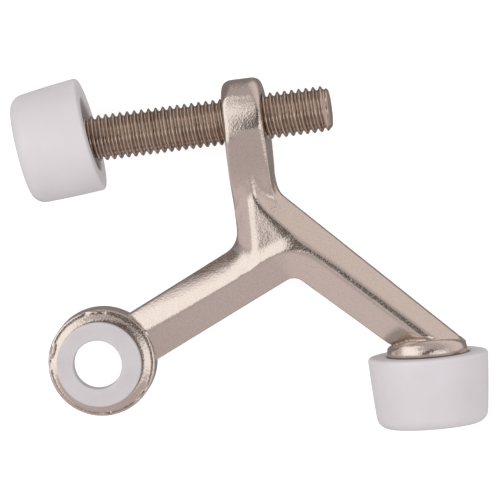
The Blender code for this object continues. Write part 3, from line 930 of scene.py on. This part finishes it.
# corners: (radius, height, fillet)
DOOR_PROFILE = [
    (0.0, DOOR_FLOOR, 0.0), (7.3, DOOR_FLOOR, 0.4), (7.3, -5.5, 0.3), (5.4, -5.1, 0.3),
    (5.4, -3.4, 0.4), (6.4, -2.6, 0.3), (6.4, 0.0, 0.45), (9.97, 0.0, 0.55),
    (9.39, -DOOR_DEPTH, 2.4), (0.0, -DOOR_DEPTH, 0.0),
]


def door_shape(local):
    """Barrel the wall and tip the rim and the face opposite ways."""
    side = local[:, 0] / 10.0
    depth = clip01(-local[:, 2] / DOOR_DEPTH)
    out = swell(local, depth, amount=0.10, beyond=8.5)
    out[:, 2] += -0.09 * side * (1 - depth) + 0.09 * side * depth
    return out


door_cap = lathe(
    "door_cap", rounded(DOOR_PROFILE), CAP_STEPS, white_rubber("white_rubber_door", DOOR_SPOT),
    centre=DOOR_BACK, axes=DOOR_AXES, shape=door_shape)
register(door_cap, "tip", "door_bumper")

# casing cap: its face is at height 0 and its rim against the foot flange
FOOT_AXES = ((0.0, 0.0, 1.0), (*FOOT_SIDE, 0.0), (*FOOT_UP, 0.0))
CASING_DEPTH = 12.4

# corners: (radius, height, fillet)
CASING_PROFILE = [
    (0.0, 4.2, 0.0), (3.4, 4.2, 0.3), (5.3, 6.1, 0.3), (5.3, 7.6, 0.3), (3.9, 8.4, 0.3),
    (3.9, 11.8, 0.15), (7.25, 11.8, 0.12), (7.25, CASING_DEPTH, 0.18),
    (10.43, CASING_DEPTH, 0.55), (9.46, 0.0, 2.1), (0.0, 0.0, 0.0),
]


def casing_shape(local):
    return swell(local, clip01(local[:, 2] / CASING_DEPTH), amount=0.07, beyond=8.0)


casing_cap = lathe(
    "casing_cap", rounded(CASING_PROFILE), CAP_STEPS, white_rubber("white_rubber_casing"),
    centre=(0.0, 0.0, 0.0), axes=FOOT_AXES, shape=casing_shape)
register(casing_cap, "bracket", "casing_bumper")

# ------------------------------------------------------------------ camera
TO_CAMERA = Vector((0.1035, 0.1091, 0.9886)).normalized()
ROLL = math.radians(7.45)
VIEW_WIDTH = 86.206897
VIEW_ANCHOR = Vector((-26.10, 56.85, 0.0))    # a point in the boss
ANCHOR_TO_CENTRE = (2.0689655, -22.4310345)   # from there to the view's centre: right, up
CAMERA_DISTANCE = 0.6                         # metres

level = math.sqrt(1 - TO_CAMERA.x**2)
level_right = Vector(
    (1 - TO_CAMERA.x**2, -TO_CAMERA.x * TO_CAMERA.y, -TO_CAMERA.x * TO_CAMERA.z)) / level
level_up = Vector((0.0, TO_CAMERA.z, -TO_CAMERA.y)) / level
RIGHT = level_right * math.cos(ROLL) - level_up * math.sin(ROLL)
UP = level_right * math.sin(ROLL) + level_up * math.cos(ROLL)


def add_camera():
    data = bpy.data.cameras.new("camera")
    data.type = "ORTHO"
    data.ortho_scale = VIEW_WIDTH * MM
    data.clip_start, data.clip_end = 0.01, 10.0
    camera = add_object("camera", data)
    centre = VIEW_ANCHOR + RIGHT * ANCHOR_TO_CENTRE[0] + UP * ANCHOR_TO_CENTRE[1]
    placed = Matrix((RIGHT, UP, TO_CAMERA)).transposed().to_4x4()
    placed.translation = centre * MM + TO_CAMERA * CAMERA_DISTANCE
    camera.matrix_world = placed
    bpy.context.scene.camera = camera


add_camera()

# ------------------------------------------------------------------ studio
# Directions are (p, q), right and up in the view: tan of half the angle from the camera's axis.
WHITE = (1, 1, 1, 1)
EVEN = (0.67, 0.65, 0.66, 1.0)                # what soft materials gather
GENERAL = (0.62, 0.56, 0.57, 1.0)             # the rest are what shiny materials reflect
BELOW = (0.72, 0.65, 0.66, 1.0)
LOWER_LEFT = (0.84, 0.765, 0.775, 1.0)
TO_RIGHT = (0.93, 0.855, 0.84, 1.0)
FAR = (0.30, 0.265, 0.26, 1.0)

# (centre p, centre q, half width, half height, softness of the edge, colour)
PANELS = [
    (-0.49, 0.14, 0.31, 0.38, 0.07, (1.50, 1.48, 1.48, 1.0)),        # left softbox
    (0.285, -0.085, 0.245, 0.135, 0.05, (1.45, 1.43, 1.43, 1.0)),    # right softbox
    (-0.215, 0.105, 0.100, 0.060, 0.045, (1.42, 1.41, 1.40, 1.0)),   # small softbox, upper left
    (-0.150, 0.300, 0.100, 0.110, 0.035, (0.74, 0.67, 0.68, 1.0)),   # gap above it
    (-0.220, 0.275, 0.050, 0.050, 0.030, (0.42, 0.375, 0.365, 1.0)),  # dark patch in the gap
]
# dark patch round the lens: a line with soft round ends
LENS_START, LENS_END = (-0.085, -0.065), (0.10, 0.11)
LENS_INNER, LENS_OUTER = 0.055, 0.130
LENS_DARK = (0.09, 0.073, 0.065, 1.0)


def reflected_studio(nt):
    """Colour of the studio in each direction, as shiny materials see it."""
    coords = add(nt, "ShaderNodeTexCoord").outputs["Generated"]

    def dot(axis):
        inputs = {0: coords, 1: axis}
        return add(nt, "ShaderNodeVectorMath", inputs, operation="DOT_PRODUCT").outputs["Value"]

    def op(kind, *values):
        inputs = dict(enumerate(values))
        return add(nt, "ShaderNodeMath", inputs, operation=kind).outputs["Value"]

    def smooth(value, start, end):
        inputs = {"Value": value, "From Min": start, "From Max": end}
        return add(
            nt, "ShaderNodeMapRange", inputs, interpolation_type="SMOOTHSTEP", clamp=True,
        ).outputs["Result"]

    def length(a, b):
        return op("SQRT", op("ADD", op("POWER", a, 2.0), op("POWER", b, 2.0)))

    over = op("MAXIMUM", op("ADD", dot(TO_CAMERA), 1.0), 0.02)
    p, q = op("DIVIDE", dot(RIGHT), over), op("DIVIDE", dot(UP), over)

    def toward(p_share, q_share):
        return op("MULTIPLY_ADD", q, q_share, op("MULTIPLY", p, p_share))

    def within(value, centre, half, soft):
        away = op("ABSOLUTE", op("SUBTRACT", value, centre))
        return smooth(away, half + soft, half - soft)

    # broad tints
    shade = mix_colour(nt, smooth(q, -0.2, -0.75), GENERAL, BELOW)
    shade = mix_colour(nt, smooth(toward(-0.7, -0.7), 0.5, 0.85), shade, LOWER_LEFT)
    rightward = op("MULTIPLY_ADD", q, 0.6, p)
    shade = mix_colour(nt, smooth(rightward, 0.40, 0.95), shade, TO_RIGHT)

    for centre_p, centre_q, half_p, half_q, soft, tint in PANELS:
        across = within(p, centre_p, half_p, soft)
        panel = op("MULTIPLY", across, within(q, centre_q, half_q, soft))
        shade = mix_colour(nt, panel, shade, tint)

    # darkness at the upper left and far round behind the subject
    up_left = toward(-0.515, 0.857)
    beside = op("MAXIMUM", toward(0.857, 0.515), 0.0)
    shade = mix_colour(nt, smooth(op("SUBTRACT", up_left, beside), 0.80, 1.05), shade, FAR)
    shade = mix_colour(nt, smooth(length(p, q), 1.7, 2.4), shade, FAR)

    # distance from the lens line
    lens_length = math.dist(LENS_START, LENS_END)
    line_p = (LENS_END[0] - LENS_START[0]) / lens_length
    line_q = (LENS_END[1] - LENS_START[1]) / lens_length
    from_p, from_q = op("SUBTRACT", p, LENS_START[0]), op("SUBTRACT", q, LENS_START[1])
    along = op("ADD", op("MULTIPLY", from_p, line_p), op("MULTIPLY", from_q, line_q))
    near = op("MINIMUM", op("MAXIMUM", along, 0.0), lens_length)
    off_p = op("SUBTRACT", from_p, op("MULTIPLY", near, line_p))
    off_q = op("SUBTRACT", from_q, op("MULTIPLY", near, line_q))
    in_lens = smooth(length(off_p, off_q), LENS_OUTER, LENS_INNER)
    return mix_colour(nt, in_lens, shade, LENS_DARK)


def studio_world():
    """White to the camera, the studio to shiny materials and an even light to the rest."""
    world = bpy.data.worlds.new("studio")
    bpy.context.scene.world = world
    world.use_nodes = True
    nt = world.node_tree
    nt.nodes.clear()
    shade = reflected_studio(nt)
    path = add(nt, "ShaderNodeLightPath").outputs
    seen, lit, even = (
        add(nt, "ShaderNodeBackground", {"Color": c}).outputs[0] for c in (WHITE, shade, EVEN))
    light = mix_shader(nt, path["Is Glossy Ray"], even, lit)
    shown = mix_shader(nt, path["Is Camera Ray"], light, seen)
    add(nt, "ShaderNodeOutputWorld", {"Surface": shown})


studio_world()

FLOOR_HALF, FLOOR_DROP = 1.2, 0.0003          # metres: half its width, and its gap below the model
FLOOR_GLOW = 0.62


def pale_floor():
    """Bright with soft shadows to the camera, plain glow to other rays, dim to glossy ones."""
    material = bpy.data.materials.new("pale_floor")
    material.use_nodes = True
    nt = material.node_tree
    nt.nodes.clear()

    def emission(colour, strength):
        return add(nt, "ShaderNodeEmission", {"Color": colour, "Strength": strength}).outputs[0]

    path = add(nt, "ShaderNodeLightPath").outputs
    bright = emission(WHITE, FLOOR_GLOW)
    soft = add(nt, "ShaderNodeBsdfDiffuse", {"Color": (0.82, 0.82, 0.82, 1)}).outputs[0]
    both = add(nt, "ShaderNodeAddShader", {0: bright, 1: soft}).outputs[0]
    dim = emission((0.40, 0.355, 0.36, 1), 1.0)
    plain = emission(WHITE, FLOOR_GLOW)
    unseen = mix_shader(nt, path["Is Glossy Ray"], plain, dim)
    shown = mix_shader(nt, path["Is Camera Ray"], unseen, both)
    add(nt, "ShaderNodeOutputMaterial", {"Surface": shown})
    return material


def add_floor():
    mesh = bpy.data.meshes.new("studio_floor")
    z = CAD_BOX[0].z - FLOOR_DROP
    signs = ((-1, -1), (1, -1), (1, 1), (-1, 1))
    corners = [(sx * FLOOR_HALF, sy * FLOOR_HALF, z) for sx, sy in signs]
    mesh.from_pydata(corners, [], [(0, 1, 2, 3)])
    floor = add_object("studio_floor", mesh)
    floor.visible_glossy = False
    mesh.materials.append(pale_floor())


add_floor()

LIGHT_AIM = Vector((-0.026, 0.030, 0.0))
LIGHT_SIZE = 0.6


def softbox(name, position, power, colour):
    light = bpy.data.lights.new(name, "AREA")
    light.shape = "RECTANGLE"
    light.size = light.size_y = LIGHT_SIZE
    light.energy = power
    light.color = colour
    o = add_object(name, light)
    o.location = position
    o.rotation_mode = "QUATERNION"
    o.rotation_quaternion = (Vector(position) - LIGHT_AIM).to_track_quat("Z", "Y")
    o.visible_glossy = False
    o.visible_camera = False


softbox("key_left", position=(-0.55, 0.35, 0.75), power=2.4, colour=(1.0, 0.99, 0.98))
softbox("fill_right", position=(0.60, -0.10, 0.70), power=1.35, colour=(1.0, 0.985, 0.98))

bpy.context.scene.view_settings.view_transform = "Standard"
bpy.context.scene.view_settings.look = "None"
